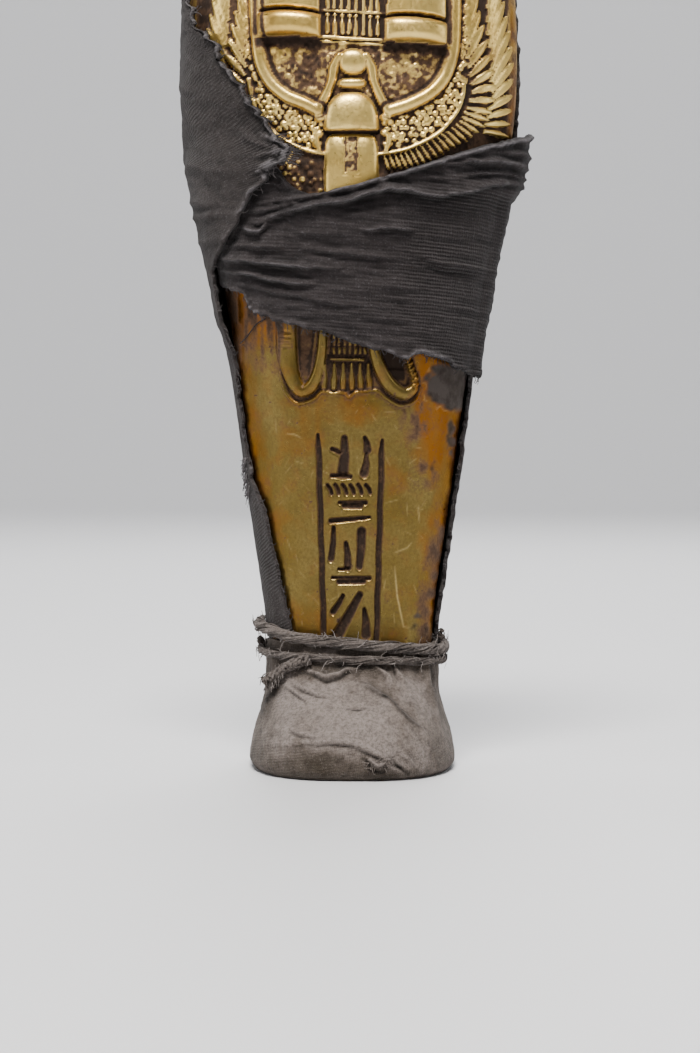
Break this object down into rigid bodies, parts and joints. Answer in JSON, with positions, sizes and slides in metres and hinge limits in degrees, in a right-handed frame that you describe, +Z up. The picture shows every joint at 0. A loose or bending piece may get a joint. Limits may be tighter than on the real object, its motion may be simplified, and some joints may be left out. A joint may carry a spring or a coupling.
{
  "type": "ushabti figurine",
  "caption": "Standing mummiform figurine, gilded and carved with a winged scarab and a column of strokes, bound in old linen strips.",
  "frame": {"origin": "on the ground under the middle of the bounding box", "axes": "+Z up along the figurine's height, -Y out of its face and toes, +X to the left hand of the figurine"},
  "size_m": [0.076, 0.0578, 0.235],
  "materials": {
    "gilding": "worn gilding, burnished on the high places, with dark brown dirt in the carving and orange brown wear at the edges",
    "shroud_linen": "old plain-weave linen, grey brown, torn and frayed at its edges",
    "band_linen": "old plain-weave linen, grey brown, creased, with a frayed lower edge",
    "foot_linen": "old plain-weave linen, dusty beige grey",
    "tie_linen": "twisted strip of old linen, dusty"
  },
  "bodies": {
    "root": {"figurine": "gilding", "shroud": "shroud_linen", "thigh_band": "band_linen", "foot_wrap": "foot_linen", "ankle_tie": "tie_linen"}
  },
  "joints": []
}
